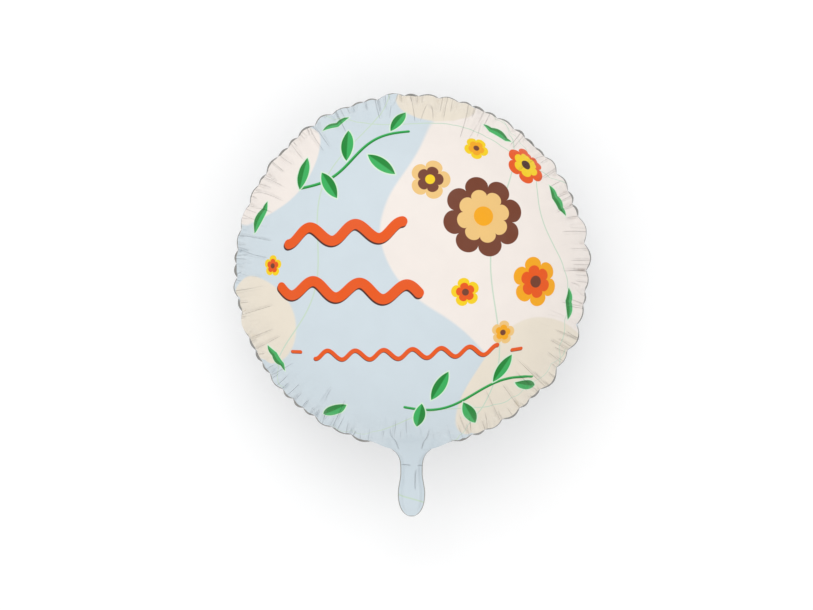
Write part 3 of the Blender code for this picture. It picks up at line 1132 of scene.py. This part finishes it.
# %% [markdown]
# ## One height for the film
# The wrinkles, creases and folds are added up with a slight unevenness all over. The tail is left
# without rays, because it isn't drawn in like the rim.

# %% Bump of the film
# A noise is a scale and a detail. A set of creases is a noise scale, a width and a radius.
TAIL_MIDDLE_OUT = 0.02
TAIL_CLEARANCE = (0.040, 0.085)
WRINKLE_RADII = (0.120, 0.205)
WRINKLE_PACE = 3.0
WRINKLE_NOISE = (34.0, 3.0)
CREASE_SETS = ((9.0, 0.09, 0.150), (16.0, 0.13, 0.178))
CREASE_PACE = 5.0
START_NOISE = (30.0, 0.0)
START_SWING = 0.08
START_BLEND = (0.04, 0.06)
UNEVENNESS = 0.0009
WAVE_NOISE = (16.0, 1.0)
GRAIN_NOISE = (260.0, 2.0)
WAVES_TO_GRAIN = 24


def film_relief(tree, sheet, shader, wrinkles):
    """Wrinkles, creases, folds and unevenness, as bump."""
    direction = vector_sum(tree, "NORMALIZE", sheet).outputs[0]
    radius = reach(tree, sheet)
    on_disc = ramp(tree, reach(tree, sheet, 0.0, -FLAT_RADIUS - TAIL_MIDDLE_OUT), *TAIL_CLEARANCE)
    near_weld = sums(tree, "MULTIPLY", ramp(tree, radius, *WRINKLE_RADII), on_disc)
    rays = along_rays(tree, direction, radius, WRINKLE_PACE)
    fine = sums(tree, "MULTIPLY", speckle(tree, rays, *WRINKLE_NOISE), near_weld)
    height = sums(tree, "MULTIPLY", fine, wrinkles)
    for scale, width, start in CREASE_SETS:
        rays = along_rays(tree, direction, radius, CREASE_PACE / scale)
        off_line = sums(tree, "SUBTRACT", speckle(tree, rays, scale, 0.0), 0.5)
        noise = speckle(tree, sheet, *START_NOISE)
        uneven = sums(tree, "MULTIPLY_ADD", noise, START_SWING, radius)
        begun = ramp(tree, uneven, start + START_BLEND[0], start + START_BLEND[1])
        reached = sums(tree, "MULTIPLY", begun, on_disc)
        line = sums(tree, "MULTIPLY", crease(tree, off_line, width), reached)
        height = sums(tree, "MULTIPLY_ADD", line, -wrinkles, height)
    for noise, depth in ((WAVE_NOISE, UNEVENNESS), (GRAIN_NOISE, UNEVENNESS / WAVES_TO_GRAIN)):
        height = sums(tree, "MULTIPLY_ADD", speckle(tree, sheet, *noise), depth, height)
    for fold in NECK_FOLDS:
        height = sums(tree, "MULTIPLY_ADD", neck_fold(tree, sheet, *fold), -wrinkles, height)
    bump = tree.nodes.new("ShaderNodeBump")
    bump.inputs["Distance"].default_value = 1.0
    tree.links.new(height, bump.inputs["Height"])
    tree.links.new(bump.outputs[0], shader.inputs["Normal"])


# %% [markdown]
# ## The two films
# The front is satin ink with unprinted silver film at the cut edge, coloured dark grey there as
# painted shade of the weld strip turning away, and the back is the unprinted film, which is bright
# metal. Both are a little uneven in gloss, as film is once it has been handled.

# %% Materials of the two sheets
SHEEN = 0.25
GLOSS_NOISE = (22.0, 3.0)
MOTTLE_NOISE = (40.0, 3.0)
MOTTLE_STRENGTH = 0.035
BARE_AND_SHADED_RANGE = (0.05, 0.40)
EDGE_METAL = 0.8
PRINT_ROUGHNESS = (0.36, 0.46)
PRINT_WRINKLES = 0.0010
SILVER_NOISE = (12.0, 2.0)
SILVER_ROUGHNESS = (0.20, 0.32)
SILVER_WRINKLES = 0.0007


def new_material(name):
    """A new material, its nodes and its Principled shader."""
    made = bpy.data.materials.new(name)
    made.use_nodes = True
    return made, made.node_tree, made.node_tree.nodes["Principled BSDF"]


def new_film(name, roughness, wrinkles):
    """A film's material with its gloss and relief, still without its colour."""
    made, tree, shader = new_material(name)
    shader.inputs["Specular IOR Level"].default_value = SHEEN
    sheet = flat_sheet(tree)
    tree.links.new(patches(tree, sheet, GLOSS_NOISE, *roughness), shader.inputs["Roughness"])
    film_relief(tree, sheet, shader, wrinkles)
    return made, tree, shader, sheet


def printed_film():
    """The front: satin inks, with unprinted metal film at the cut edge in a painted shade of dark
    grey.
    """
    made, tree, shader, sheet = new_film("printed film", PRINT_ROUGHNESS, PRINT_WRINKLES)
    inks = print_ground(tree, sheet)
    for print_more in (print_greens, print_blossoms, print_strokes):
        inks = print_more(tree, sheet, inks)
    inks = painted(tree, inks, MOTTLE, patches(tree, sheet, MOTTLE_NOISE, 0.0, MOTTLE_STRENGTH))
    # The cut edge is metal film, and its dark grey colour is painted shade of the weld strip turning
    # away.
    edge = tree.nodes.new("ShaderNodeAttribute")
    edge.attribute_name = "bare edge"
    bare_and_shaded = ramp(tree, edge.outputs["Fac"], *BARE_AND_SHADED_RANGE)
    tree.links.new(painted(tree, inks, EDGE_SILVER_AND_PAINTED_SHADE, bare_and_shaded), shader.inputs["Base Color"])
    tree.links.new(sums(tree, "MULTIPLY", bare_and_shaded, EDGE_METAL), shader.inputs["Metallic"])
    print(made.name, len(tree.nodes), "nodes")
    return made


def silver_film():
    """The back: plain metallised film."""
    made, tree, shader, sheet = new_film("silver film", SILVER_ROUGHNESS, SILVER_WRINKLES)
    colour = painted(tree, BACK_DARK, BACK_LIGHT, patches(tree, sheet, SILVER_NOISE))
    tree.links.new(colour, shader.inputs["Base Color"])
    shader.inputs["Metallic"].default_value = 1.0
    print(made.name, len(tree.nodes), "nodes")
    return made


front.data.materials.append(printed_film())
back.data.materials.append(silver_film())

for piece, node in ((front, "front_foil"), (back, "back_foil")):
    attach(piece, "root")
    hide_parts(node)

# %% [markdown]
# ## Floor and light
# The balloon lies on pale paper. The light is that of a bright, even studio: a white room that is
# brighter above than at its sides, and one large soft light from the top of the picture.

# %% Floor and light
FLOOR_SIZE = 8
PAPER_WHITE = (0.94, 0.94, 0.94, 1)
PAPER_ROUGHNESS = 0.9
BRIGHT_SIDE = (-0.15, -0.35, 1.0)
ROOM_RANGE = (-0.2, 1.0)
ROOM_BRIGHTNESS = (0.87, 1.13)
SOFTBOX_PLACE = Vector((-0.3, 1.5, 2.2))
SOFTBOX_AIM = Vector((0, 0, 0.1))
SOFTBOX_SIZE = 1.6
SOFTBOX_POWER = 10

bpy.ops.mesh.primitive_plane_add(size=FLOOR_SIZE, location=(0, 0, 0))
floor = bpy.context.object
floor.name = "studio_floor"
paper, _, paper_shader = new_material("white paper")
paper_shader.inputs["Base Color"].default_value = PAPER_WHITE
paper_shader.inputs["Roughness"].default_value = PAPER_ROUGHNESS
floor.data.materials.append(paper)

world = bpy.data.worlds.new("white room")
bpy.context.scene.world = world
world.use_nodes = True
room = world.node_tree
away = room.nodes.new("ShaderNodeTexCoord").outputs["Generated"]
towards = vector_sum(room, "DOT_PRODUCT", away, Vector(BRIGHT_SIDE).normalized())
brightness = ramp(room, towards.outputs["Value"], *ROOM_RANGE, *ROOM_BRIGHTNESS)
room.nodes["Background"].inputs["Color"].default_value = (1, 1, 1, 1)
room.links.new(brightness, room.nodes["Background"].inputs["Strength"])

bpy.ops.object.light_add(type="AREA", location=SOFTBOX_PLACE)
softbox = bpy.context.object
softbox.name = "softbox"
softbox.data.size = SOFTBOX_SIZE
softbox.data.energy = SOFTBOX_POWER
softbox.rotation_euler = (SOFTBOX_AIM - SOFTBOX_PLACE).to_track_quat("-Z", "Y").to_euler()
print("softbox", SOFTBOX_POWER, "W")

# %% [markdown]
# ## The picture
# The camera looks straight down on the balloon, so that the print faces it and the tail points to
# the bottom of the picture. A long lens far away keeps the outline round.

# %% Camera
IMAGE_WIDTH, IMAGE_HEIGHT = 813, 610
METRES_PER_PIXEL = 0.001
DISC_PIXEL = (411.5, 270.6)
CAMERA_DISTANCE = 3.0
SENSOR = 36.0

bpy.ops.object.camera_add()
camera = bpy.context.object
bpy.context.scene.camera = camera
across = (IMAGE_WIDTH / 2 - DISC_PIXEL[0]) * METRES_PER_PIXEL
down = (DISC_PIXEL[1] - IMAGE_HEIGHT / 2) * METRES_PER_PIXEL
camera.location = (across, down, SEAM_HEIGHT + CAMERA_DISTANCE)
camera.rotation_euler = (0, 0, 0)
camera.data.sensor_width = SENSOR
camera.data.lens = SENSOR * CAMERA_DISTANCE / (IMAGE_WIDTH * METRES_PER_PIXEL)
bpy.context.scene.view_settings.view_transform = "Standard"
print("lens", round(camera.data.lens, 1), "mm")
